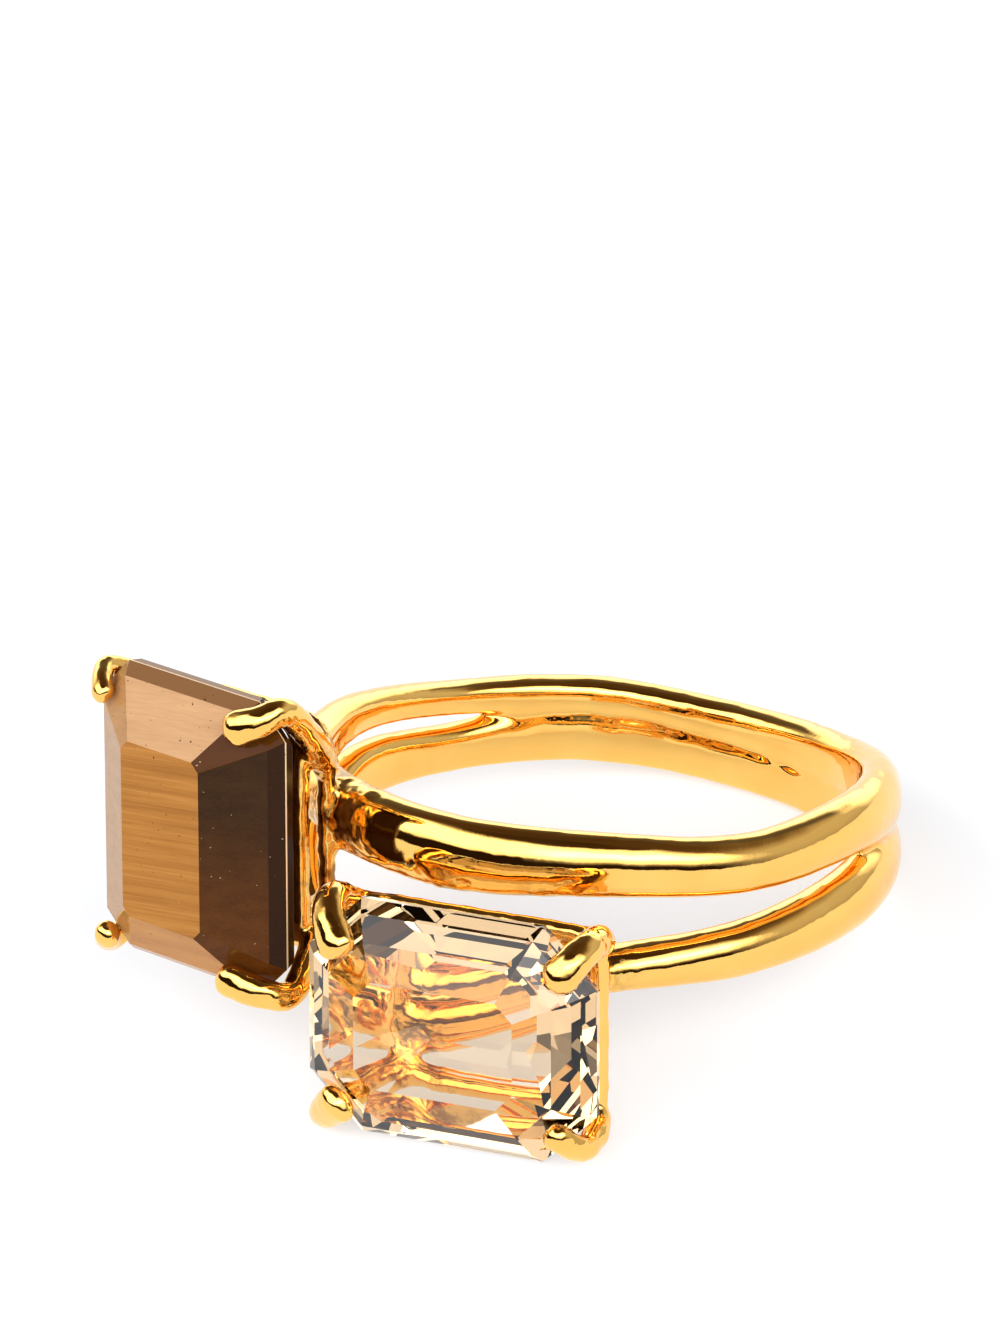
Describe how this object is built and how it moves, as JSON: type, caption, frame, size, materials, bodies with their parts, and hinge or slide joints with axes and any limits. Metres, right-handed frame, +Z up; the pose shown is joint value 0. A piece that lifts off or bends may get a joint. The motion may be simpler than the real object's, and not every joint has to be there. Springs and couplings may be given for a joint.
{
  "type": "gemstone ring",
  "caption": "Finger ring of twin wavy metal bands soldered together, with a tall step-cut tiger eye and a wide step-cut citrine, each held by claws in an open wire basket.",
  "frame": {"origin": "bottom centre of the bounding box, on the table that the ring lies on", "axes": "X along the ring's width across both stones, Y from the stones to the back of the bands, Z up from the table"},
  "size_m": [0.0226, 0.0256, 0.0135],
  "materials": {
    "gold": "polished",
    "tiger_eye": "polished",
    "citrine": "polished"
  },
  "bodies": {
    "root": {"gold_ring": "gold", "tiger_eye_stone": "tiger_eye", "citrine_stone": "citrine"}
  },
  "joints": []
}
